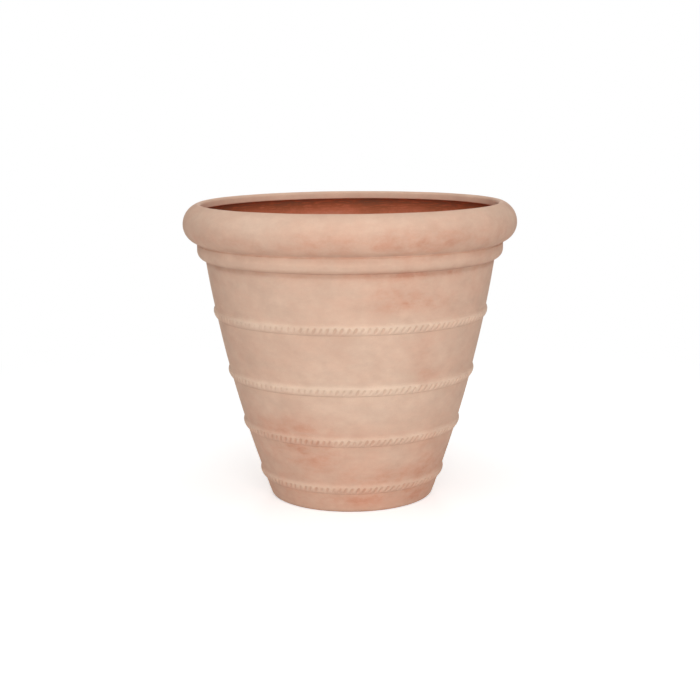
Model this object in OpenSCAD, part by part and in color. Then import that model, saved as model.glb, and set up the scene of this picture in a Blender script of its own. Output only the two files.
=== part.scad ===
// Large rolled-rim flower pot with a collar and four rope bands.
// It is modelled as it is made: a slab for the base, a bowed wall raised on it,
// a collar and a hollow rolled rim set on the wall, and rope bands in shallow seats.
// Every piece is a ring about the +Z axis, and the pot stands on z = 0.

/* [Overall size] */
// Widest diameter, across the rolled rim
rim_d = 500; // [360:1:700]
// Height from the floor to the top of the lip
pot_h = 447; // [380:1:640]
// Diameter that the wall's outer face has at the floor, before the foot is rounded
foot_d = 246; // [180:1:340]
// How far the side bows out from a straight line between the foot and the collar
wall_bow = 9.5; // [3:0.1:20]

/* [Clay] */
// Thickness of the side wall
wall_t = 12; // [8:0.5:20]
// Thickness of the base slab
floor_t = 14; // [9:0.5:30]
// Thickness of the rolled rim's skin
roll_t = 13; // [7:0.5:18]
// Slip between a ring and the wall it is luted to
lute_gap = 0.1; // [0:0.05:0.4]

/* [Rolled rim] */
// Radius of the roll above its widest line
roll_top_r = 32; // [24:0.1:40]
// Radius of the roll below its widest line
roll_under_r = 28.8; // [24:0.1:40]
// How far the roll stands out from the wall where the wall meets the collar
roll_overhang = 32.7; // [26:0.1:42]
// Width of the lip, from the widest line in to the mouth
lip_w = 27.6; // [22:0.1:36]
// Rounding of the lip's upper edge
lip_r = 5; // [2:0.1:8]
// Rounding of the lip's lower edge
lip_under_r = 1.6; // [0.5:0.1:4]
// Rounding where the wall turns out into the hollow of the roll
throat_r = 6; // [2:0.1:9]

/* [Collar] */
// Height of the collar under the roll
collar_h = 24.7; // [18:0.1:40]
// How far the collar stands out from the wall at its lower edge
collar_proud = 12.3; // [9:0.1:20]
// Rounding of the collar's lower edge
collar_r = 14.5; // [4:0.1:18]
// Rounding of the collar's upper edge
collar_top_r = 2.5; // [1:0.1:6]
// Depth of the crease between the collar and the roll
crease_d = 1.5; // [0.5:0.1:4]

/* [Rope bands] */
// Height of the lowest band's middle above the floor
low_band_z = 38; // [24:0.5:60]
// Drop from the collar to the middle of the top band
top_band_drop = 79; // [30:0.1:100]
// Offset of the second band from an even spread
band_2_shift = -8.6; // [-15:0.1:15]
// Offset of the third band from an even spread
band_3_shift = -5.3; // [-15:0.1:15]
// Height of a band, measured along the wall
band_h = 17; // [12:0.5:26]
// How far a band stands out of the wall
band_proud = 3.4; // [2.5:0.1:6]
// How far above a band's middle it stands out most
crown_up = 1.5; // [-2:0.1:3]
// Depth of the seat cut in the wall for a band
seat_d = 0.8; // [0.5:0.1:2]

/* [Rope notches] */
// Pitch of the notches round each band, from the top band down
notch_pitch = [9.8, 9.6, 8.9, 9.0]; // [8:0.1:16]
// Lean of the notches from upright
notch_lean = 23; // [0:1:45]
// Radius of the round-ended tool that presses a notch
notch_r = 2.6; // [1.5:0.1:3.2]
// Depth of a notch at a band's crown
notch_depth = 1.8; // [0.8:0.1:2.4]
// Smooth clay left between a notch and the band's upper edge
notch_drop = 3.7; // [1:0.1:7]

/* [Base] */
// Diameter of the drain hole
drain_d = 30; // [12:1:60]
// Width of the ring that the pot stands on
foot_ring_w = 26; // [14:1:50]
// Height of the recess inside that ring
recess_h = 3; // [1:0.5:6]
// Rounding of the foot's outer edge
foot_r = 6; // [2:0.5:10]
// Radius of the cove between the floor and the wall, inside
cove_r = 14; // [6:0.5:24]
// Thickness of the cove's toe on the floor
cove_toe = 1; // [0.5:0.1:3]

/* [Hidden] */

// Clay as fired, and a slightly warmer shade for the rings set on it
clay = [0.80, 0.64, 0.55];
clay_rings = [0.86, 0.71, 0.61];

// Facets round the axis, along the wall's long arc and on small roundings
round_fn = 180;
arc_fn = 720;
small_fn = 48;

// Straight steps that each side of a band's crown is made in
crown_steps = 3;

// Reach of the wedge behind a rounding, as a multiple of its radius
wedge_reach = 2.5;

// Radii of the rim, the mouth and the wall's face at the collar
rim_r = rim_d / 2;
mouth_r = rim_r - lip_w;
neck_r = rim_r - roll_overhang;

// The roll's hollow keeps its skin even, so its arcs share the outer arcs' centres
hollow_top_r = roll_top_r - roll_t;
hollow_under_r = roll_under_r - roll_t;
roll_top_x = rim_r - roll_top_r;
roll_under_x = rim_r - roll_under_r;

// The lip's rounding touches the roll from inside, and its top is the pot's top
lip_c = [mouth_r + lip_r, pot_h - lip_r];
widest_z = lip_c.y - sqrt(pow(roll_top_r - lip_r, 2) - pow(lip_c.x - roll_top_x, 2));
seat_z = widest_z - roll_under_r;
shelf_z = widest_z - hollow_under_r;
neck_z = seat_z - collar_h;

// The side is one arc through the foot and the neck
side = [neck_r - foot_d / 2, neck_z];
side_len = norm(side);
arc_r = pow(side_len, 2) / (8 * wall_bow) + wall_bow / 2;
arc_c = [foot_d / 2, 0] + side / 2 - [side.y, -side.x] / side_len * (arc_r - wall_bow);

// Heights of the four bands, from the top one down
band_top_z = neck_z - top_band_drop;
band_even = (band_top_z - low_band_z) / 3;
band_z = [
    band_top_z,
    band_top_z - band_even + band_2_shift,
    low_band_z + band_even + band_3_shift,
    low_band_z
];

collar_out_r = neck_r + collar_proud;
collar_round = min(collar_r, collar_h - collar_top_r - 1);

// Outer radius of the wall at a height
function face_r(z) = arc_c.x + sqrt(pow(arc_r, 2) - pow(z - arc_c.y, 2));

// Lean of the wall from upright at a height
function face_lean(z) = asin((arc_c.y - z) / arc_r);

// Centre of a rounding at height z that touches, at its radius, an arc of radius r about arc_c
function on_arc(r, z) = [arc_c.x + sqrt(pow(r, 2) - pow(z - arc_c.y, 2)), z];

function unit(v) = v / norm(v);

// The wedge between two directions from c, less the circle of radius r about c.
// Taken from a section it rounds an edge, and left in a hollow it makes a cove.
module corner_wedge(c, r, a, b) {
    reach = wedge_reach * r;
    difference() {
        polygon([c, c + reach * a, c + reach * (a + b), c + reach * b]);
        translate(c) circle(r, $fn = small_fn);
    }
}

// All that lies inside an arc of the side, at an offset from its outer face
module inside_side(offset_in) {
    translate(arc_c) circle(arc_r - offset_in, $fn = arc_fn);
}

// Everything between two heights, out to past the rim
module between(z0, z1) {
    translate([0, z0]) square([rim_d, z1 - z0]);
}

// The frame of a band's section: x stands out of the wall and y runs up it
module on_side(z) {
    translate([face_r(z), z]) rotate(-face_lean(z)) children();
}

module slab_section() {
    foot_c = on_arc(arc_r - foot_r, foot_r);
    difference() {
        intersection() {
            inside_side(0);
            between(0, floor_t);
        }
        square([drain_d, 2 * floor_t + 2], center = true);
        square([2 * (foot_d / 2 - foot_ring_w), 2 * recess_h], center = true);
        corner_wedge(foot_c, foot_r, [0, -1], unit(foot_c - arc_c));
    }
}

module wall_section() {
    cove_z = floor_t + cove_r - cove_toe;
    cove_c = on_arc(arc_r - wall_t - cove_r, cove_z);
    difference() {
        intersection() {
            inside_side(0);
            between(floor_t, seat_z);
        }
        difference() {
            inside_side(wall_t);
            corner_wedge(cove_c, cove_r, [0, -1], unit(cove_c - arc_c));
        }
        for (z = band_z)
            on_side(z)
                translate([-seat_d, -band_h / 2 - lute_gap])
                    square([rim_d, band_h + 2 * lute_gap]);
    }
}

module collar_section() {
    edge_c = [collar_out_r - collar_round, neck_z + collar_round];
    top_c = [collar_out_r - collar_top_r, seat_z - collar_top_r];
    difference() {
        translate([0, neck_z]) square([collar_out_r, collar_h]);
        inside_side(-lute_gap);
        corner_wedge(edge_c, collar_round, [0, -1], [1, 0]);
        corner_wedge(top_c, collar_top_r, [0, 1], [1, 0]);
    }
}

// The roll's outer form, or its hollow, from its two radii
module roll_form(top_r, under_r) {
    intersection() {
        translate([roll_top_x, widest_z]) circle(top_r, $fn = round_fn);
        between(widest_z, pot_h + roll_t);
    }
    intersection() {
        translate([roll_under_x, widest_z]) circle(under_r, $fn = round_fn);
        between(seat_z, widest_z);
    }
}

module roll_section() {
    lip_under_x = mouth_r + lip_under_r;
    lip_under_z = widest_z
        + sqrt(pow(hollow_top_r + lip_under_r, 2) - pow(lip_under_x - roll_top_x, 2));
    lip_under_c = [lip_under_x, lip_under_z];
    throat_c = on_arc(arc_r - wall_t + throat_r, shelf_z - throat_r);
    difference() {
        union() {
            roll_form(roll_top_r, roll_under_r);
            translate([0, seat_z]) square([collar_out_r - crease_d, shelf_z - seat_z]);
        }
        roll_form(hollow_top_r, hollow_under_r);
        translate([0, shelf_z]) square([roll_under_x, widest_z - shelf_z]);
        translate([0, widest_z]) square([roll_top_x, hollow_top_r]);
        translate([0, widest_z]) square([mouth_r, pot_h]);
        inside_side(wall_t);
        corner_wedge(lip_c, lip_r, [-1, 0], unit(lip_c - [roll_top_x, widest_z]));
        corner_wedge(lip_under_c, lip_under_r, [-1, 0], unit([roll_top_x, widest_z] - lip_under_c));
        corner_wedge(throat_c, throat_r, [0, 1], unit(arc_c - throat_c));
    }
}

// A point of a band's crown, from its lower edge at t = -1 to its upper edge at t = 1.
// Each side of the crown is an arc from the wall's face out to the same height.
function crown_point(t) =
    let (half = band_h / 2 - sign(t) * crown_up)
    let (r = (pow(half, 2) + pow(band_proud, 2)) / (2 * band_proud))
    let (a = t * asin(half / r))
    [band_proud - r + r * cos(a), crown_up + r * sin(a)];

// A key in the wall's seat and a crown outside it.
// The crown is in straight steps, so the notches cut plain cones.
module band_section() {
    crown = [for (i = [-crown_steps : crown_steps]) crown_point(i / crown_steps)];
    key_x = lute_gap - seat_d;
    polygon(concat([[key_x, -band_h / 2]], crown, [[key_x, band_h / 2]]));
}

// The tool that presses one notch, in a band's frame: x out, y along, z up the wall.
// It lies level with the wall, with its round end up.
module notch_tool() {
    translate([band_proud - notch_depth + notch_r, 0, band_h / 2 - notch_drop - notch_r])
        rotate([-notch_lean, 0, 0])
            rotate_extrude($fn = small_fn) {
                translate([0, -2 * band_h]) square([notch_r, 2 * band_h]);
                intersection() {
                    circle(notch_r, $fn = small_fn);
                    square(notch_r);
                }
            }
}

module rope_band(i) {
    z = band_z[i];
    notches = round(2 * PI * (face_r(z) + band_proud) / notch_pitch[i]);
    difference() {
        rotate_extrude($fn = round_fn) on_side(z) band_section();
        for (k = [0 : notches - 1])
            rotate([0, 0, 360 * (k + 0.5) / notches])
                translate([face_r(z), 0, z])
                    rotate([0, face_lean(z), 0])
                        notch_tool();
    }
}

module base_slab() {
    color(clay) rotate_extrude($fn = round_fn) slab_section();
}

module side_wall() {
    color(clay) rotate_extrude($fn = round_fn) wall_section();
}

module rim_collar() {
    color(clay_rings) rotate_extrude($fn = round_fn) collar_section();
}

module rim_roll() {
    color(clay_rings) rotate_extrude($fn = round_fn) roll_section();
}

module rope_band_1() {
    color(clay_rings) rope_band(0);
}

module rope_band_2() {
    color(clay_rings) rope_band(1);
}

module rope_band_3() {
    color(clay_rings) rope_band(2);
}

module rope_band_4() {
    color(clay_rings) rope_band(3);
}

base_slab();
side_wall();
rim_collar();
rim_roll();
rope_band_1();
rope_band_2();
rope_band_3();
rope_band_4();
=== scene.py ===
"""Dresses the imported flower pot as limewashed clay, on a pale floor in soft studio light.

Every piece is a ring about the pot's axis, with the section of the solid that it stands for.
The unevenness of hand-made clay only takes clay away. All that is added is slip: a small fillet
in the crease under the roll, and half a millimetre smoothed over the upper edge of each band.
Lengths are in metres. Named angles are in degrees, and arrays of azimuths are in radians.
"""
import math

import bpy
import numpy as np
from mathutils import Matrix, Vector


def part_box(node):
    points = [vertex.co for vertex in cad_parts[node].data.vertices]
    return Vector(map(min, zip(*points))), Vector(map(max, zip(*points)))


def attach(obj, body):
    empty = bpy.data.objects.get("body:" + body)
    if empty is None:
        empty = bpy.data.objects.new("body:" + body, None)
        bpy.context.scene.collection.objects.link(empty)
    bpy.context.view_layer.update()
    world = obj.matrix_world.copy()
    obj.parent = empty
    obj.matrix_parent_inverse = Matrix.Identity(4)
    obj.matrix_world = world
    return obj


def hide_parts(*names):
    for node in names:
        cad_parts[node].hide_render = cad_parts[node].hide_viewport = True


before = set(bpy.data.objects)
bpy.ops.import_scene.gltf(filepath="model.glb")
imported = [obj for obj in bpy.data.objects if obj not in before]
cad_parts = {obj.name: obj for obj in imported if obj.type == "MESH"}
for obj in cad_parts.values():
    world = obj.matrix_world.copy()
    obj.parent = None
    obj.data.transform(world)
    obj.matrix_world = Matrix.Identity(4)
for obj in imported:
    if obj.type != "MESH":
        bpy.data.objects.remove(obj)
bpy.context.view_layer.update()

# The photograph's camera, from the ellipses of the rim, the collar and the bands
FRAME_PX = 700
FOCAL_PX = 1411
SENSOR_MM = 36
CAMERA_AT = (-0.0014, -2.121, 0.606)
CAMERA_DOWN = 10.306
CAMERA_ROLL = -0.5

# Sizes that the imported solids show
RIM_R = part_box("rim_roll")[1][0]
POT_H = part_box("rim_roll")[1][2]
SEAT_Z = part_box("rim_roll")[0][2]
COLLAR_OUT_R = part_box("rim_collar")[1][0]
FLOOR_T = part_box("base_slab")[1][2]
BANDS = ["rope_band_1", "rope_band_2", "rope_band_3", "rope_band_4"]
BAND_Z = [(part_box(name)[0][2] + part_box(name)[1][2]) / 2 for name in BANDS]

# Sizes inside the sections
FOOT_R = 0.123
WALL_BOW = 0.0095
WALL_T = 0.012
ROLL_T = 0.013
ROLL_TOP_R = 0.032
ROLL_UNDER_R = 0.0288
ROLL_OVERHANG = 0.0327
LIP_W = 0.0276
LIP_ROUND = 0.005
LIP_UNDER_ROUND = 0.0016
THROAT_ROUND = 0.006
COLLAR_H = 0.0247
COLLAR_ROUND = 0.0145
COLLAR_TOP_ROUND = 0.0025
SLIP_ROUND = 0.002
FOOT_ROUND = 0.006
FOOT_RING_W = 0.026
RECESS_H = 0.003
DRAIN_R = 0.015
DRAIN_ROUND = 0.0012
COVE_R = 0.014
COVE_TOE = 0.001
NECK_Z = SEAT_Z - COLLAR_H

# Rope bands, and the tool that presses their notches
BAND_H = 0.017
BAND_PROUD = 0.0034
CROWN_UP = 0.0015
NOTCH_PITCH = [0.0098, 0.0096, 0.0089, 0.0090]
NOTCH_LEAN = 23
NOTCH_R = 0.0026
NOTCH_DEPTH = 0.0017
NOTCH_DROP = 0.0037
NOTCH_SLOPE = 0.07
NOTCH_EDGE = 0.0005

# How the notches differ: their shift round the band as a share of the pitch, their lean, and what
# is added to their depth and to their drop
NOTCH_SHIFT = 0.07
NOTCH_TILT = 5
DEPTH_ADDED = (-0.0006, 0.0002)
DROP_ADDED = (-0.0006, 0.0009)

# Where wash fills the notches of the two upper bands: the azimuth from the front, half the width
# in degrees, and the share of the depth that is filled
FILLED = {"rope_band_1": (-42, 16, 0.65), "rope_band_2": (-31, 12, 0.55)}
NOT_FILLED = (0, 1, 0)

# How far a band's face runs on below and above its edges, and how deep in the wall its back lies
BAND_BELOW = 0.0006
BAND_ABOVE = 0.0021
BAND_BACK = 0.001

# The slip smoothed over a band's upper edge: how thick it is there, and its fall to either side
SLIP_H = 0.0005
SLIP_FALL = 0.3

# Height of a notch's floor where there is no notch
NO_CUT = 0.02

# Fineness of the meshes: the columns round a turned piece, the lengths of steps outside and
# inside, the numbers of steps in arcs, the steps round one notch and up a band, and the angle
# beyond which an edge is shaded as a sharp one
AROUND = 400
STEP_OUTSIDE = 0.0024
STEP_INSIDE = 0.007
ROUNDING_STEPS = 12
DRAIN_STEPS = 4
LIP_UNDER_STEPS = 6
SLIP_STEPS = 8
HOLLOW_STEPS = 16
NOTCH_STEPS = 14
BAND_STEP = 0.0006
SHARP_ANGLE = 40

# Points of an outline that are closer than this are one point
SAME_POINT = 1e-6

# The slip that rounds the crease under the roll ends this far inside the collar
SLIP_SUNK = 0.0001

# A ring set on the wall reaches this far into it, so that no gap shows
BEDDED = 0.0004

# The painted shade line in each crease, and along the foot where it meets the ground, which also wears
# the wash a little: its height, its reach up and down, and how deep it looks
SEAT_CREASE = (SEAT_Z - 0.001, 0.003, 1.1)
NECK_CREASE = (NECK_Z - 0.0022, 0.004, 2.4)
FOOT_CREASE = (0.0, 0.0035, 1.6)
CREASE_WEAR = 0.08

# The painted shadow line along a band's lower edge: its reach, and how deep it looks
TOE_REACH = 0.0012
TOE_DEPTH = 1.5

# How raised a band counts at its middle, how that grows upwards, and what a notch takes from it.
# Raised clay gets thicker wash and a painted highlight, which grows towards a band's upper side
RAISED_MIDDLE = 0.8
RAISED_GROWTH = 0.5
RAISED_LOST = 0.5

# The heights between which the bare clay under the lip gets darker, as painted shade
LIP_SHADE_FROM = 0.409
LIP_SHADE_TO = 0.429

# The unevenness of the clay: broad dents, and faint rings left by turning. Each has its depth,
# its number of waves, the range of their turns round the pot, and of their rise in waves a metre
DENT_DEPTH = 0.0005
DENT_WAVES = 28
DENT_TURNS = (1, 15)
DENT_RISE = (2, 14)
RING_DEPTH = 0.00004
RING_WAVES = 9
RING_TURNS = (0, 3)
RING_RISE = (55, 120)
SEED = 11

# The unevenness of bare clay, as a share of the rest's
BARE_UNEVEN = 0.6

# Patches of the wash, seen in the photograph: the azimuth from the front, the height, half the
# width, half the height, and how far the wash is worn there, or lies thicker where it is below 0
PATCHES = [
    (18, 0.407, 0.150, 0.014, 0.46),
    (-55, 0.403, 0.060, 0.010, 0.14),
    (-32, 0.429, 0.050, 0.012, -0.12),
    (45, 0.378, 0.120, 0.008, 0.12),
    (20, 0.360, 0.100, 0.006, 0.28),
    (18, 0.331, 0.032, 0.016, 0.36),
    (25, 0.318, 0.042, 0.009, 0.26),
    (54, 0.330, 0.050, 0.030, 0.13),
    (5, 0.262, 0.050, 0.020, -0.08),
    (31, 0.242, 0.013, 0.026, 0.28),
    (38, 0.208, 0.018, 0.012, 0.28),
    (12, 0.180, 0.060, 0.035, -0.18),
    # The two tall patches at -62 and 60 degrees run nearly the full height and make the pot redder and
    # darker towards its left and right edges
    (-62, 0.220, 0.030, 0.120, 0.12),
    (60, 0.220, 0.030, 0.120, 0.10),
    (-26, 0.143, 0.045, 0.011, 0.23),
    (-32, 0.128, 0.085, 0.011, 0.24),
    (-28, 0.104, 0.070, 0.013, 0.24),
    (36, 0.106, 0.050, 0.012, 0.14),
    (-20, 0.086, 0.024, 0.018, 0.26),
    (22, 0.086, 0.032, 0.010, -0.12),
    (50, 0.082, 0.022, 0.020, 0.12),
    (35, 0.057, 0.060, 0.013, 0.18),
    (2, 0.021, 0.030, 0.008, 0.16),
    (38, 0.021, 0.034, 0.009, 0.20),
    (0, 0.004, 0.300, 0.006, -0.12),
]

# Patches round the back, which are drawn at random: how many, the ranges that they are drawn
# from, and how far the wash is worn there
BACK_PATCHES = 14
BACK_TURN = (85, 275)
BACK_HEIGHT = (0.01, POT_H)
BACK_HALF_W = (0.015, 0.05)
BACK_HALF_H = (0.008, 0.02)
BACK_WEAR = 0.28

# How far the wash is worn elsewhere, and what splashes add between the ground and their top
PLAIN_WEAR = 0.33
SPLASH_WEAR = 0.32
SPLASH_TOP = 0.15

mouth_r = RIM_R - LIP_W
neck_r = RIM_R - ROLL_OVERHANG
hollow_top_r = ROLL_TOP_R - ROLL_T
hollow_under_r = ROLL_UNDER_R - ROLL_T
lip_c = np.array([mouth_r + LIP_ROUND, POT_H - LIP_ROUND])
roll_top_x = RIM_R - ROLL_TOP_R
roll_under_x = RIM_R - ROLL_UNDER_R
widest_z = SEAT_Z + ROLL_UNDER_R
shelf_z = widest_z - hollow_under_r

# The side is one arc through the foot and the neck
side = np.array([neck_r - FOOT_R, NECK_Z])
side_len = np.hypot(*side)
arc_r = side_len ** 2 / (8 * WALL_BOW) + WALL_BOW / 2
arc_c = np.array([FOOT_R, 0]) + side / 2 - np.array([side[1], -side[0]]) / side_len * (arc_r - WALL_BOW)

rng = np.random.default_rng(SEED)


def side_at(z, inset=0.0):
    """Radius of the side at height z, that far in from its outer face."""
    return arc_c[0] + np.sqrt((arc_r - inset) ** 2 - (z - arc_c[1]) ** 2)


def side_lean(z):
    """Lean of the side from upright at height z, in radians."""
    return math.asin((arc_c[1] - z) / arc_r)


def arc(centre, radius, start, end, steps=ROUNDING_STEPS):
    """Points of an arc, from one angle to another."""
    angles = np.radians(np.linspace(start, end, steps + 1))
    return np.stack([centre[0] + radius * np.cos(angles), centre[1] + radius * np.sin(angles)], 1)


def angle_of(vector):
    """Direction of a vector, in degrees."""
    return math.degrees(math.atan2(vector[1], vector[0]))


def side_line(z0, z1, inset, step):
    """Points along the side between two heights."""
    steps = max(2, int(abs(z1 - z0) / step))
    z = np.linspace(z0, z1, steps + 1)
    return np.stack([side_at(z, inset), z], 1)


def straight(start, end, step):
    """Points along a straight line."""
    length = math.dist(start, end)
    steps = max(1, int(length / step))
    t = np.linspace(0, 1, steps + 1)[:, None]
    return np.array(start) * (1 - t) + np.array(end) * t


def outside_both(c1, r1, c2, r2, radius):
    """Centre of a circle that touches two others from outside, on the side away from the axis."""
    apart = math.dist(c1, c2)
    way = (c2 - c1) / apart
    along = (apart ** 2 + (r1 + radius) ** 2 - (r2 + radius) ** 2) / (2 * apart)
    off = math.sqrt((r1 + radius) ** 2 - along ** 2)
    return c1 + along * way + off * np.array([way[1], -way[0]])


def joined(*runs):
    """The runs of points as one outline, less the points that repeat."""
    points = np.concatenate(runs)
    gap = np.hypot(*(points - np.roll(points, 1, axis=0)).T)
    return points[gap > SAME_POINT]


def from_turn(azimuth, turn):
    """Degrees from a turn away from the front to an azimuth in degrees, the shorter way round."""
    return (azimuth + 90 - turn + 180) % 360 - 180


def waves(count, turns_range, rise_range):
    """Random waves that close on themselves round the pot: (turns, rise, phase) of each."""
    turns = rng.integers(turns_range[0], turns_range[1] + 1, count)
    rise = rng.uniform(*rise_range, count) * rng.choice([-1, 1], count)
    return turns, rise, rng.uniform(0, 2 * np.pi, count)


dent_waves = waves(DENT_WAVES, DENT_TURNS, DENT_RISE)
ring_waves = waves(RING_WAVES, RING_TURNS, RING_RISE)


def swell(kind, azimuth, z):
    """The mean of the waves, about a half and held between 0 and 1."""
    turns, rise, phase = (part[:, None, None] for part in kind)
    mean = np.sin(turns * azimuth + 2 * np.pi * rise * z + phase).mean(axis=0)
    return np.clip(0.5 + mean, 0, 1)


def clay_lost(azimuth, z):
    """How far the clay stands back from its nominal face."""
    return DENT_DEPTH * swell(dent_waves, azimuth, z) + RING_DEPTH * swell(ring_waves, azimuth, z)


def all_patches():
    """The patches that show in the photograph, and others like them round the back."""
    found = list(PATCHES)
    for _ in range(BACK_PATCHES):
        turn = rng.uniform(*BACK_TURN)
        height = rng.uniform(*BACK_HEIGHT)
        half_w = rng.uniform(*BACK_HALF_W)
        half_h = rng.uniform(*BACK_HALF_H)
        found.append((turn, height, half_w, half_h, BACK_WEAR))
    return found


patches = all_patches()


def wear_at(azimuth, z):
    """How far the wash is worn at each point: more towards the ground, and in the patches."""
    low = np.clip((SPLASH_TOP - z) / SPLASH_TOP, 0, 1)
    total = PLAIN_WEAR + SPLASH_WEAR * low * low * (3 - 2 * low) + 0 * azimuth
    for turn, height, half_w, half_h, strength in patches:
        apart = np.radians(from_turn(np.degrees(azimuth), turn))
        across = apart * side_at(np.clip(height, 0, SEAT_Z)) / half_w
        rise = (z - height) / half_h
        total = total + strength * np.exp(-0.5 * (across ** 2 + rise ** 2))
    return np.clip(total, 0, 1)


def grid_faces(rows, columns):
    """Quads between the points of a grid that closes on itself both ways."""
    grid = np.arange(rows * columns).reshape(rows, columns)
    up = np.roll(grid, -1, axis=0)
    along = np.roll(grid, -1, axis=1)
    both = np.roll(up, -1, axis=1)
    return np.stack([grid, along, both, up], -1).reshape(-1, 4)


def quad_mesh(name, points, faces, bare):
    """A smooth mesh of quads, where bare marks those of the second material."""
    mesh = bpy.data.meshes.new(name)
    mesh.vertices.add(len(points))
    mesh.vertices.foreach_set("co", points.astype(np.float32).ravel())
    mesh.loops.add(faces.size)
    mesh.loops.foreach_set("vertex_index", faces.astype(np.int32).ravel())
    mesh.polygons.add(len(faces))
    mesh.polygons.foreach_set("loop_start", np.arange(0, faces.size, 4, dtype=np.int32))
    mesh.polygons.foreach_set("use_smooth", np.ones(len(faces), dtype=bool))
    mesh.polygons.foreach_set("material_index", bare)
    mesh.update(calc_edges=True)
    return mesh


def new_object(name, data):
    """An object in the scene, made of the data."""
    made = bpy.data.objects.new(name, data)
    bpy.context.scene.collection.objects.link(made)
    return made


def ring_mesh(name, radius, z, azimuth, bare_rows, hollow, raised, worn=0.0, shade=0.0, sharp=True):
    """A closed ring from a grid of radii and heights: rows along the section, columns round the axis.

    bare_rows marks the rows of faces that have no wash, hollow how deep each point lies in a
    notch or crease, where it paints shade and wears the wash a little, raised how far it stands
    out, where the wash lies thick and a painted highlight is added, worn how much more the wash
    is worn than elsewhere, and shade the painted shade of the bare clay under the lip.
    """
    points = np.stack([radius * np.cos(azimuth), radius * np.sin(azimuth), z], -1).reshape(-1, 3)
    bare = np.repeat(np.asarray(bare_rows, dtype=np.int32), radius.shape[1])
    mesh = quad_mesh(name, points, grid_faces(*radius.shape), bare)
    wear = wear_at(azimuth, z) + worn
    kept = {"wear": wear, "hollow": hollow, "raised": raised, "shade": shade}
    for label, values in kept.items():
        layer = mesh.attributes.new(label, "FLOAT", "POINT")
        layer.data.foreach_set("value", np.broadcast_to(values, radius.shape).astype(np.float32).ravel())
    if sharp:
        mesh.set_sharp_from_angle(angle=math.radians(SHARP_ANGLE))
    return new_object(name, mesh)


def lathe(name, section, bare_from, creases):
    """A ring turned from a section, whose points from bare_from on have no wash."""
    azimuth = np.linspace(0, 2 * np.pi, AROUND, endpoint=False)[None, :]
    ahead = np.roll(section, -1, axis=0) - np.roll(section, 1, axis=0)
    outward = np.stack([ahead[:, 1], -ahead[:, 0]], 1) / np.hypot(*ahead.T)[:, None]
    z = np.repeat(section[:, 1:], AROUND, axis=1)
    lost = clay_lost(azimuth, z)
    lost[bare_from:] *= BARE_UNEVEN
    radius = section[:, :1] - outward[:, :1] * lost
    # The slab keeps its heights, so that the pot stands flat
    height = z - outward[:, 1:] * lost * (section[:, 1:] > FLOOR_T)
    # Painted shade along each crease, which also adds a little wear there
    hollow = np.zeros_like(z)
    for level, reach, depth in creases:
        hollow = np.maximum(hollow, depth * np.exp(-((z - level) / reach) ** 2))
    bare_rows = np.arange(len(section)) >= bare_from
    worn = CREASE_WEAR * hollow
    # Painted shade on the bare clay under the lip, darker towards the top
    shade = np.clip((z - LIP_SHADE_FROM) / (LIP_SHADE_TO - LIP_SHADE_FROM), 0, 1)
    shade[:bare_from] = 0
    return ring_mesh(name, radius, height, azimuth, bare_rows, hollow, np.zeros_like(z), worn, shade)


def base_section():
    """The slab: its outer edge first, then what has no wash."""
    foot_z = FOOT_ROUND
    foot_c = np.array([side_at(foot_z, FOOT_ROUND), foot_z])
    outside = joined(
        arc(foot_c, FOOT_ROUND, -90, angle_of(foot_c - arc_c)),
        side_line(foot_z, FLOOR_T, 0, STEP_OUTSIDE),
    )
    ring_r = FOOT_R - FOOT_RING_W
    top_c = (DRAIN_R + DRAIN_ROUND, FLOOR_T - DRAIN_ROUND)
    low_c = (DRAIN_R + DRAIN_ROUND, RECESS_H + DRAIN_ROUND)
    inside = joined(
        straight((side_at(FLOOR_T), FLOOR_T), (top_c[0], FLOOR_T), STEP_INSIDE)[1:],
        arc(top_c, DRAIN_ROUND, 90, 180, DRAIN_STEPS),
        arc(low_c, DRAIN_ROUND, 180, 270, DRAIN_STEPS),
        straight((low_c[0], RECESS_H), (ring_r, RECESS_H), STEP_INSIDE),
        straight((ring_r, 0), (foot_c[0], 0), STEP_INSIDE)[:-1],
    )
    return np.concatenate([outside, inside]), len(outside) - 1


def wall_section():
    """The side from the slab to the roll's seat, then its inner face and the cove."""
    cove_z = FLOOR_T + COVE_R - COVE_TOE
    cove_c = np.array([side_at(cove_z, WALL_T + COVE_R), cove_z])
    out_way = angle_of(cove_c - arc_c)
    tangent_z = cove_z + COVE_R * math.sin(math.radians(out_way))
    toe_way = -math.degrees(math.asin((cove_z - FLOOR_T) / COVE_R))
    outside = side_line(FLOOR_T, SEAT_Z, 0, STEP_OUTSIDE)
    inside = joined(
        side_line(SEAT_Z, tangent_z, WALL_T, STEP_INSIDE),
        arc(cove_c, COVE_R, out_way, toe_way),
    )
    return np.concatenate([outside, inside]), len(outside) - 1


def collar_section():
    """The collar, bedded a little into the wall."""
    edge_c = np.array([COLLAR_OUT_R - COLLAR_ROUND, NECK_Z + COLLAR_ROUND])
    top_c = (COLLAR_OUT_R - COLLAR_TOP_ROUND, SEAT_Z - COLLAR_TOP_ROUND)
    edge_way = -math.degrees(math.acos((side_at(NECK_Z, BEDDED) - edge_c[0]) / COLLAR_ROUND))
    outside = joined(
        arc(edge_c, COLLAR_ROUND, edge_way, 0),
        arc(top_c, COLLAR_TOP_ROUND, 0, 90),
        straight((top_c[0], SEAT_Z), (side_at(SEAT_Z, BEDDED), SEAT_Z), STEP_OUTSIDE),
        side_line(SEAT_Z, NECK_Z, BEDDED, STEP_INSIDE)[:-1],
    )
    return outside, len(outside)


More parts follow.
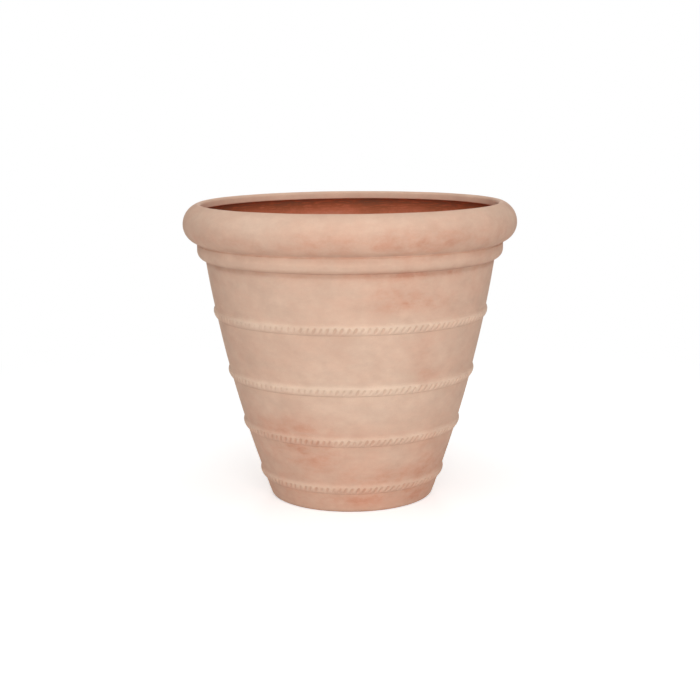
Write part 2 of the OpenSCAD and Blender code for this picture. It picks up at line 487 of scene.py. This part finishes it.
def roll_section():
    """The rolled rim: its outside and lip, then the cavity under the lip."""
    roll_top_c = np.array([roll_top_x, widest_z])
    roll_under_c = np.array([roll_under_x, widest_z])
    collar_c = np.array([COLLAR_OUT_R - COLLAR_TOP_ROUND, SEAT_Z - COLLAR_TOP_ROUND])
    slip_c = outside_both(collar_c, COLLAR_TOP_ROUND - SLIP_SUNK, roll_under_c, ROLL_UNDER_R, SLIP_ROUND)
    slip_start = angle_of(collar_c - slip_c) % 360
    slip_end = angle_of(roll_under_c - slip_c)
    lip_way = angle_of(lip_c - roll_top_c)
    under_x = mouth_r + LIP_UNDER_ROUND
    under_z = widest_z + math.sqrt((hollow_top_r + LIP_UNDER_ROUND) ** 2 - (under_x - roll_top_x) ** 2)
    under_c = np.array([under_x, under_z])
    under_end = angle_of(roll_top_c - under_c) % 360
    throat_z = shelf_z - THROAT_ROUND
    throat_c = np.array([side_at(throat_z, WALL_T - THROAT_ROUND), throat_z])
    throat_way = angle_of(arc_c - throat_c) % 360
    steps = int(math.pi / 2 * ROLL_TOP_R / STEP_OUTSIDE)
    outside = joined(
        straight((side_at(SEAT_Z, BEDDED), SEAT_Z), (collar_c[0], SEAT_Z), STEP_OUTSIDE),
        arc(slip_c, SLIP_ROUND, slip_start, slip_end, SLIP_STEPS),
        arc(roll_under_c, ROLL_UNDER_R, angle_of(slip_c - roll_under_c), 0, steps),
        arc(roll_top_c, ROLL_TOP_R, 0, lip_way, steps),
        arc(lip_c, LIP_ROUND, lip_way, 180),
        straight((mouth_r, lip_c[1]), (mouth_r, under_z), STEP_OUTSIDE),
        arc(under_c, LIP_UNDER_ROUND, 180, under_end, LIP_UNDER_STEPS),
    )
    inside = joined(
        arc(roll_top_c, hollow_top_r, angle_of(under_c - roll_top_c), 0, HOLLOW_STEPS),
        arc(roll_under_c, hollow_under_r, 0, -90, HOLLOW_STEPS),
        arc(throat_c, THROAT_ROUND, 90, throat_way),
        side_line(throat_z, SEAT_Z, WALL_T, STEP_INSIDE),
    )
    return np.concatenate([outside, inside]), len(outside) - 1


def soft_max(a, b, reach):
    """The larger of two, blended where they are within reach of each other."""
    share = np.clip(0.5 + 0.5 * (a - b) / reach, 0, 1)
    return a * share + b * (1 - share) + reach * share * (1 - share)


def band_face(y):
    """How far a band stands out of the wall, at a distance y up the wall from its middle."""
    half = np.where(y < CROWN_UP, BAND_H / 2 + CROWN_UP, BAND_H / 2 - CROWN_UP)
    crown_r = (half ** 2 + BAND_PROUD ** 2) / (2 * BAND_PROUD)
    pad = BAND_PROUD - crown_r + np.sqrt(np.maximum(crown_r ** 2 - (y - CROWN_UP) ** 2, 0))
    slip = SLIP_H - SLIP_FALL * np.abs(y - BAND_H / 2)
    return soft_max(pad, slip, SLIP_H)


def notch_floor(y, along, lean, depth, drop):
    """Height of a notch's surface, at y up the wall and along round it from the notch's tip."""
    tip = BAND_H / 2 - drop - NOTCH_R
    off_axis = along * np.cos(lean) - (y - tip) * np.sin(lean)
    past_tip = np.maximum((y - tip) * np.cos(lean) + along * np.sin(lean), 0)
    reach = np.sqrt(off_axis ** 2 + past_tip ** 2)
    bowl = BAND_PROUD - depth + NOTCH_R - np.sqrt(np.maximum(NOTCH_R ** 2 - reach ** 2, 0))
    bowl = bowl - NOTCH_SLOPE * np.maximum(tip - y, 0)
    return np.where(reach < NOTCH_R, bowl, NO_CUT)


def notch_count(index):
    """How many notches a band has, and their pitch along its crown."""
    girth = 2 * math.pi * (side_at(BAND_Z[index]) + BAND_PROUD)
    count = round(girth / NOTCH_PITCH[index])
    return count, girth / count


def filled_share(name, count):
    """The share of each notch's depth that wash fills."""
    turn, width, share = FILLED.get(name, NOT_FILLED)
    middles = (np.arange(count) + 0.5) / count * 360
    return share * np.exp(-0.5 * (from_turn(middles, turn) / width) ** 2)


def press_notches(name, plain, y, azimuth, count, pitch):
    """A band's plain face with its notches, each pressed a little differently."""
    shift = rng.uniform(-NOTCH_SHIFT, NOTCH_SHIFT, count) * pitch
    tilt = np.radians(NOTCH_LEAN + rng.uniform(-NOTCH_TILT, NOTCH_TILT, count))
    depth = NOTCH_DEPTH + rng.uniform(*DEPTH_ADDED, count)
    drop = NOTCH_DROP + rng.uniform(*DROP_ADDED, count)
    depth = depth * (1 - filled_share(name, count))
    cut = np.full_like(plain, NO_CUT)
    place = azimuth / (2 * np.pi) * count - 0.5
    nearest = np.round(place).astype(int)
    for step in (-1, 0, 1):
        k = (nearest + step) % count
        along = (place - nearest - step) * pitch - shift[k]
        cut = np.minimum(cut, notch_floor(y, along, tilt[k], depth[k], drop[k]))
    return -soft_max(-plain, -cut, NOTCH_EDGE)


def rope_band(index):
    """A band: its notched face from the lower edge up, then its back in the wall."""
    z0 = BAND_Z[index]
    lean = side_lean(z0)
    face = side_at(z0)
    half = BAND_H / 2
    count, pitch = notch_count(index)
    around = count * NOTCH_STEPS
    azimuth = np.linspace(0, 2 * np.pi, around, endpoint=False)[None, :]
    rows = int((BAND_H + BAND_BELOW + BAND_ABOVE) / BAND_STEP) + 1
    y = np.linspace(-half - BAND_BELOW, half + BAND_ABOVE, rows)[:, None]
    plain = band_face(y) + 0 * azimuth
    pressed = press_notches(BANDS[index], plain, y, azimuth, count, pitch)
    sunk = np.clip((plain - pressed) / NOTCH_DEPTH, 0, 1)
    x = np.concatenate([pressed, np.full((2, around), -BAND_BACK)])
    y_all = np.concatenate([y, [[half]], [[-half]]]) + 0 * azimuth
    # A painted shadow line along the band's lower edge
    toe_shadow = TOE_DEPTH * np.exp(-((y_all + half) / TOE_REACH) ** 2)
    hollow = np.maximum(np.concatenate([sunk, np.zeros((2, around))]), toe_shadow)
    raised = np.clip(x / BAND_PROUD, 0, 1) * (1 - RAISED_LOST * np.clip(hollow, 0, 1))
    raised = raised * (RAISED_MIDDLE + RAISED_GROWTH * y_all / BAND_H)
    z = z0 - x * math.sin(lean) + y_all * math.cos(lean)
    radius = face + x * math.cos(lean) + y_all * math.sin(lean) - clay_lost(azimuth, z)
    bare_rows = np.zeros(len(x), dtype=bool)
    name = BANDS[index].replace("rope", "clay_rope")
    return ring_mesh(name, radius, z, azimuth, bare_rows, hollow, raised, sharp=False)


# The middle of a noise, and the spans of one that are taken onto other values
NOISE_MIDDLE = 0.5
TONE_SPAN = (0.25, 0.75)
ROUGH_SPAN = (0.2, 0.8)
RAGGED_SPAN = (0.34, 0.66)
SPECK_SPAN = (0.60, 0.80)
CLAY_SPAN = (0.32, 0.68)
LIP_SPAN = (0.48, 0.68)

# The wash in linear light, from where it lies thick to where it is worn down to the clay
WASH = [
    (0.00, (0.84, 0.62, 0.475)),
    (0.30, (0.79, 0.54, 0.405)),
    (0.55, (0.77, 0.49, 0.36)),
    (0.80, (0.75, 0.43, 0.305)),
    (1.00, (0.71, 0.35, 0.235)),
]
# The noises in the wash: how they are pressed flat, and the scale, detail and roughness of each
WASH_FLAT = (1, 1, 1.7)
WASH_NOISE = {
    "blotch": (15, 4, 0.62),
    "streak": (22, 4, 0.6),
    "ragged": (24, 4, 0.6),
    "fleck": (48, 4, 0.68),
    "speck": (260, 3, 0.7),
    "grain": (900, 2, 0.55),
}
# How much each cause adds to the wear or takes from it
BLOTCH_WEAR = 0.42
RAGGED = (0.7, 1.25)
FLECK_WEAR = 0.5
HOLLOW_WEAR = 0.03
RAISED_WASH = 0.3
SPECK_WASH = 0.15
# How much each cause lightens or darkens the wash; raised parts get a painted highlight, and notches and
# creases painted shade
STREAK_TONE = 0.05
GRAIN_TONE = 0.02
FLECK_DARK = 0.05
PATCH_DARK = 0.03
RAISED_PAINTED_LIGHT = 0.07
HOLLOW_PAINTED_SHADE = 0.065
# The wash's surface: its roughness, its gloss, and how far streaks, specks and grain stand out
WASH_ROUGH = (0.82, 0.95)
WASH_GLOSS = 0.25
WASH_RELIEF = (0.0004, 0.00012, 0.00006)

# Unwashed clay, from its darkest spots to its palest
CLAY = [
    (0.0, (0.20, 0.128, 0.080)),
    (0.35, (0.43, 0.145, 0.068)),
    (0.7, (0.62, 0.205, 0.110)),
    (1.0, (0.73, 0.310, 0.200)),
]
# The noises in the clay, as for the wash, with a flatter one for the streaks under the lip
CLAY_FLAT = (1, 1, 3)
LIP_FLAT = (1, 1, 7)
CLAY_NOISE = {
    "blotch": (14, 4, 0.6),
    "rings": (20, 3, 0.5),
    "speck": (240, 3, 0.75),
    "grain": (1100, 2, 0.55),
    "lip": (60, 2, 0.55),
}
# The clay's tone: the shares of blotches, rings and specks, and the part of CLAY that they reach
BLOTCH_SHARE = 0.45
RINGS_SHARE = 0.3
SPECK_SHARE = 0.25
CLAY_TONE = (0.50, 0.94)
# The painted shade on the clay under the lip: the share of its tone that it takes away, and what the
# streaks there give back
LIP_PAINTED_SHADE = 0.78
LIP_STREAK = 0.32
# The clay's surface: its roughness, its gloss, and how far rings, specks and grain stand out
CLAY_ROUGH = (0.86, 0.98)
CLAY_GLOSS = 0.2
CLAY_RELIEF = (0.0008, 0.0005, 0.0001)

# A mix node's colour sockets, by number, because its other sockets have the same names
MIX_A = 6
MIX_B = 7
MIX_RESULT = 2


class Nodes:
    """A small helper that adds nodes to one material and joins them."""

    def __init__(self, name):
        self.material = bpy.data.materials.new(name)
        self.material.use_nodes = True
        self.tree = self.material.node_tree
        self.shader = self.tree.nodes["Principled BSDF"]

    def add(self, kind, **settings):
        """A new node with its settings."""
        node = self.tree.nodes.new(kind)
        for key, value in settings.items():
            setattr(node, key, value)
        return node

    def join(self, source, target):
        """Links an output to a socket."""
        self.tree.links.new(source, target)

    def put(self, target, value):
        """Sets a socket to a number, or joins it to another node's output."""
        if isinstance(value, bpy.types.NodeSocket):
            self.join(value, target)
        else:
            target.default_value = value

    def coordinates(self, scale=(1, 1, 1)):
        """The point on the object, stretched."""
        where = self.add("ShaderNodeTexCoord")
        mapping = self.add("ShaderNodeMapping")
        mapping.inputs["Scale"].default_value = scale
        self.join(where.outputs["Object"], mapping.inputs["Vector"])
        return mapping.outputs["Vector"]

    def noise(self, vector, setting):
        """Noise with a scale, detail and roughness."""
        scale, detail, rough = setting
        node = self.add("ShaderNodeTexNoise")
        self.join(vector, node.inputs["Vector"])
        node.inputs["Scale"].default_value = scale
        node.inputs["Detail"].default_value = detail
        node.inputs["Roughness"].default_value = rough
        return node.outputs["Fac"]

    def ramp(self, value, stops):
        """A colour that runs through stops of (position, colour)."""
        node = self.add("ShaderNodeValToRGB")
        self.join(value, node.inputs["Fac"])
        elements = node.color_ramp.elements
        while len(elements) < len(stops):
            elements.new(0.5)
        for element, (position, colour) in zip(elements, stops):
            element.position = position
            element.color = (*colour, 1)
        return node.outputs["Color"]

    def attribute(self, name):
        """A value that the mesh holds at each point."""
        node = self.add("ShaderNodeAttribute", attribute_name=name)
        return node.outputs["Fac"]

    def math(self, operation, a, b):
        """One operation on two values."""
        node = self.add("ShaderNodeMath", operation=operation)
        self.put(node.inputs[0], a)
        self.put(node.inputs[1], b)
        return node.outputs[0]

    def plus(self, total, value, share):
        """A total with a share of a value added."""
        return self.math("ADD", total, self.math("MULTIPLY", value, share))

    def spread(self, value, span, onto):
        """Takes a span onto another, smoothly and held at both ends."""
        node = self.add("ShaderNodeMapRange", interpolation_type="SMOOTHSTEP")
        self.join(value, node.inputs["Value"])
        node.inputs["From Min"].default_value = span[0]
        node.inputs["From Max"].default_value = span[1]
        node.inputs["To Min"].default_value = onto[0]
        node.inputs["To Max"].default_value = onto[1]
        return node.outputs["Result"]

    def shaded(self, colour, level):
        """A colour times a level."""
        node = self.add("ShaderNodeMix", data_type="RGBA", blend_type="MULTIPLY")
        node.inputs["Factor"].default_value = 1.0
        self.join(colour, node.inputs[MIX_A])
        self.join(level, node.inputs[MIX_B])
        return node.outputs[MIX_RESULT]

    def relief(self, heights, distances):
        """The normal after bumps laid over each other: a height and how far it stands out for each."""
        normal = None
        for height, distance in zip(heights, distances):
            node = self.add("ShaderNodeBump")
            self.join(height, node.inputs["Height"])
            node.inputs["Distance"].default_value = distance
            if normal is not None:
                self.join(normal, node.inputs["Normal"])
            normal = node.outputs["Normal"]
        return normal

    def surface(self, colour, rough, gloss, normal):
        """Gives the shader its colour, roughness, gloss and normal."""
        self.join(colour, self.shader.inputs["Base Color"])
        self.join(rough, self.shader.inputs["Roughness"])
        self.shader.inputs["Specular IOR Level"].default_value = gloss
        self.join(normal, self.shader.inputs["Normal"])


def limewashed_clay():
    """Cream wash over pink clay: blotches, faint level streaks, worn patches, painted highlights on
    ridges and painted shade in hollows.
    """
    n = Nodes("limewashed_clay")
    plain = n.coordinates()
    level = n.coordinates(WASH_FLAT)
    blotch = n.noise(plain, WASH_NOISE["blotch"])
    streak = n.noise(level, WASH_NOISE["streak"])
    speck = n.noise(plain, WASH_NOISE["speck"])
    grain = n.noise(plain, WASH_NOISE["grain"])
    fleck = n.math("SUBTRACT", n.noise(level, WASH_NOISE["fleck"]), NOISE_MIDDLE)
    ragged = n.spread(n.noise(level, WASH_NOISE["ragged"]), RAGGED_SPAN, RAGGED)
    wear = n.attribute("wear")
    hollow = n.attribute("hollow")
    raised = n.attribute("raised")
    patch = n.math("MULTIPLY", n.math("MAXIMUM", n.math("SUBTRACT", wear, PLAIN_WEAR), 0.0), ragged)

    worn = n.math("ADD", n.math("MINIMUM", wear, PLAIN_WEAR), patch)
    worn = n.plus(worn, n.math("SUBTRACT", blotch, NOISE_MIDDLE), BLOTCH_WEAR)
    worn = n.plus(worn, fleck, FLECK_WEAR)
    worn = n.plus(worn, hollow, HOLLOW_WEAR)
    worn = n.plus(worn, raised, -RAISED_WASH)
    worn = n.math("ADD", worn, n.spread(speck, SPECK_SPAN, (0.0, -SPECK_WASH)))

    streaks = n.spread(streak, TONE_SPAN, (1 - STREAK_TONE, 1 + STREAK_TONE))
    grains = n.spread(grain, TONE_SPAN, (-GRAIN_TONE, GRAIN_TONE))
    shade = n.math("ADD", streaks, grains)
    shade = n.plus(shade, fleck, -FLECK_DARK)
    shade = n.plus(shade, patch, -PATCH_DARK)
    # Painted highlight on raised clay, as if lit from above
    shade = n.plus(shade, raised, RAISED_PAINTED_LIGHT)
    # Painted shade in notches and creases
    shade = n.plus(shade, hollow, -HOLLOW_PAINTED_SHADE)

    colour = n.shaded(n.ramp(worn, WASH), shade)
    rough = n.spread(blotch, ROUGH_SPAN, WASH_ROUGH)
    n.surface(colour, rough, WASH_GLOSS, n.relief((streak, speck, grain), WASH_RELIEF))
    return n.material


def bare_clay():
    """Unwashed red clay, rough and speckled, with painted shade and pale streaks under the lip."""
    n = Nodes("bare_clay")
    plain = n.coordinates()
    blotch = n.noise(plain, CLAY_NOISE["blotch"])
    rings = n.noise(n.coordinates(CLAY_FLAT), CLAY_NOISE["rings"])
    speck = n.noise(plain, CLAY_NOISE["speck"])
    grain = n.noise(plain, CLAY_NOISE["grain"])
    streak = n.noise(n.coordinates(LIP_FLAT), CLAY_NOISE["lip"])
    lip_shade = n.attribute("shade")

    tone = n.plus(n.math("MULTIPLY", blotch, BLOTCH_SHARE), rings, RINGS_SHARE)
    tone = n.plus(tone, speck, SPECK_SHARE)
    tone = n.spread(tone, CLAY_SPAN, CLAY_TONE)
    # Painted shade under the lip, with its pale streaks
    tone = n.math("MULTIPLY", tone, n.plus(1.0, lip_shade, -LIP_PAINTED_SHADE))
    tone = n.plus(tone, lip_shade, n.spread(streak, LIP_SPAN, (0.0, LIP_STREAK)))

    rough = n.spread(blotch, ROUGH_SPAN, CLAY_ROUGH)
    n.surface(n.ramp(tone, CLAY), rough, CLAY_GLOSS, n.relief((rings, speck, grain), CLAY_RELIEF))
    return n.material


def dress():
    """Makes each piece, puts it in its node's place and gives it its clay."""
    washed = limewashed_clay()
    bare = bare_clay()
    pieces = {
        "base_slab": lathe("clay_base", *base_section(), creases=(FOOT_CREASE,)),
        "side_wall": lathe("clay_wall", *wall_section(), creases=(NECK_CREASE,)),
        "rim_collar": lathe("clay_collar", *collar_section(), creases=(NECK_CREASE, SEAT_CREASE)),
        "rim_roll": lathe("clay_roll", *roll_section(), creases=(SEAT_CREASE,)),
    }
    for index, node in enumerate(BANDS):
        pieces[node] = rope_band(index)
    for node, piece in pieces.items():
        piece.data.materials.append(washed)
        piece.data.materials.append(bare)
        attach(piece, "root")
        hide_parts(node)


# The studio's soft lamps: the place, width, height and power in watts of each
LAMPS = {
    "front": ((0.28, -2.9, 1.2), 1.6, 1.6, 27.5),
    "top": ((0.0, -0.2, 3.0), 1.8, 1.8, 13.0),
    "back": ((0.0, 2.9, 0.8), 0.8, 0.8, 24.0),
}
LAMPS_LOOK_AT = (0, 0, 0.25)

# How strongly the sky lights the pot from the camera's side, and from the far side
SKY_FRONT = 0.77
SKY_BACK = 0.0

# The floor: half its width, its colour, the glow that lifts it towards white, and the distances
# from the pot between which it fades to plain white
FLOOR_HALF = 6.0
FLOOR_COLOUR = (0.86, 0.86, 0.86)
FLOOR_GLOW = 0.52
FLOOR_FADE = (0.45, 1.3)


def add_lamps():
    """Soft lamps that look at the pot."""
    for name, (place, width, height, power) in LAMPS.items():
        light = bpy.data.lights.new(name, "AREA")
        light.shape = "RECTANGLE"
        light.size = width
        light.size_y = height
        light.energy = power
        lamp = new_object(name, light)
        lamp.location = place
        aim = Vector(LAMPS_LOOK_AT) - Vector(place)
        lamp.rotation_euler = aim.to_track_quat("-Z", "Y").to_euler()


def seen_rays(tree):
    """An output that is 1 for the rays of the camera, of gloss and of glass."""
    rays = tree.nodes.new("ShaderNodeLightPath")
    seen = rays.outputs["Is Camera Ray"]
    for kind in ("Is Glossy Ray", "Is Transmission Ray"):
        either = tree.nodes.new("ShaderNodeMath")
        either.operation = "MAXIMUM"
        tree.links.new(seen, either.inputs[0])
        tree.links.new(rays.outputs[kind], either.inputs[1])
        seen = either.outputs[0]
    return seen


def add_world():
    """A soft grey light, strongest from the front, which cameras, gloss and glass see as white."""
    world = bpy.data.worlds.new("studio")
    world.use_nodes = True
    bpy.context.scene.world = world
    nodes = world.node_tree.nodes
    links = world.node_tree.links
    background = nodes["Background"]
    level = nodes.new("ShaderNodeMapRange")
    sky = nodes.new("ShaderNodeMapRange")
    where = nodes.new("ShaderNodeTexCoord")
    apart = nodes.new("ShaderNodeSeparateXYZ")
    links.new(where.outputs["Generated"], apart.inputs["Vector"])
    links.new(apart.outputs["Y"], sky.inputs["Value"])
    sky.inputs["From Min"].default_value = -1.0
    sky.inputs["To Min"].default_value = SKY_FRONT
    sky.inputs["To Max"].default_value = SKY_BACK
    links.new(sky.outputs["Result"], level.inputs["To Min"])
    level.inputs["To Max"].default_value = 1.0
    links.new(seen_rays(world.node_tree), level.inputs["Value"])
    links.new(level.outputs["Result"], background.inputs["Strength"])
    background.inputs["Color"].default_value = (1, 1, 1, 1)


def floor_material():
    """Pale floor that keeps the pot's shadow and fades to white away from it."""
    n = Nodes("pale_floor")
    n.shader.inputs["Base Color"].default_value = (*FLOOR_COLOUR, 1)
    n.shader.inputs["Roughness"].default_value = 1.0
    n.shader.inputs["Specular IOR Level"].default_value = 0.0
    place = n.add("ShaderNodeNewGeometry")
    away = n.add("ShaderNodeVectorMath", operation="LENGTH")
    n.join(place.outputs["Position"], away.inputs[0])
    seen = seen_rays(n.tree)
    n.shader.inputs["Emission Color"].default_value = (1, 1, 1, 1)
    n.join(n.math("MULTIPLY", seen, FLOOR_GLOW), n.shader.inputs["Emission Strength"])
    share = n.math("MULTIPLY", n.spread(away.outputs["Value"], FLOOR_FADE, (0.0, 1.0)), seen)
    white = n.add("ShaderNodeEmission")
    blend = n.add("ShaderNodeMixShader")
    output = n.tree.nodes["Material Output"]
    n.join(share, blend.inputs[0])
    n.join(n.shader.outputs[0], blend.inputs[1])
    n.join(white.outputs[0], blend.inputs[2])
    n.join(blend.outputs[0], output.inputs["Surface"])
    return n.material


def add_floor():
    """A square floor, which is only there for the picture."""
    mesh = bpy.data.meshes.new("floor")
    h = FLOOR_HALF
    mesh.from_pydata([(-h, -h, 0), (h, -h, 0), (h, h, 0), (-h, h, 0)], [], [(0, 1, 2, 3)])
    mesh.materials.append(floor_material())
    floor = new_object("floor", mesh)


def add_camera():
    """The photograph's camera."""
    data = bpy.data.cameras.new("camera")
    data.sensor_fit = "HORIZONTAL"
    data.sensor_width = SENSOR_MM
    data.lens = SENSOR_MM * FOCAL_PX / FRAME_PX
    camera = new_object("camera", data)
    tip = Matrix.Rotation(math.radians(90 - CAMERA_DOWN), 4, "X")
    roll = Matrix.Rotation(math.radians(CAMERA_ROLL), 4, "Z")
    camera.matrix_world = Matrix.Translation(CAMERA_AT) @ tip @ roll
    bpy.context.scene.camera = camera


dress()
add_camera()
add_lamps()
add_world()
add_floor()
bpy.context.scene.view_settings.view_transform = "Standard"
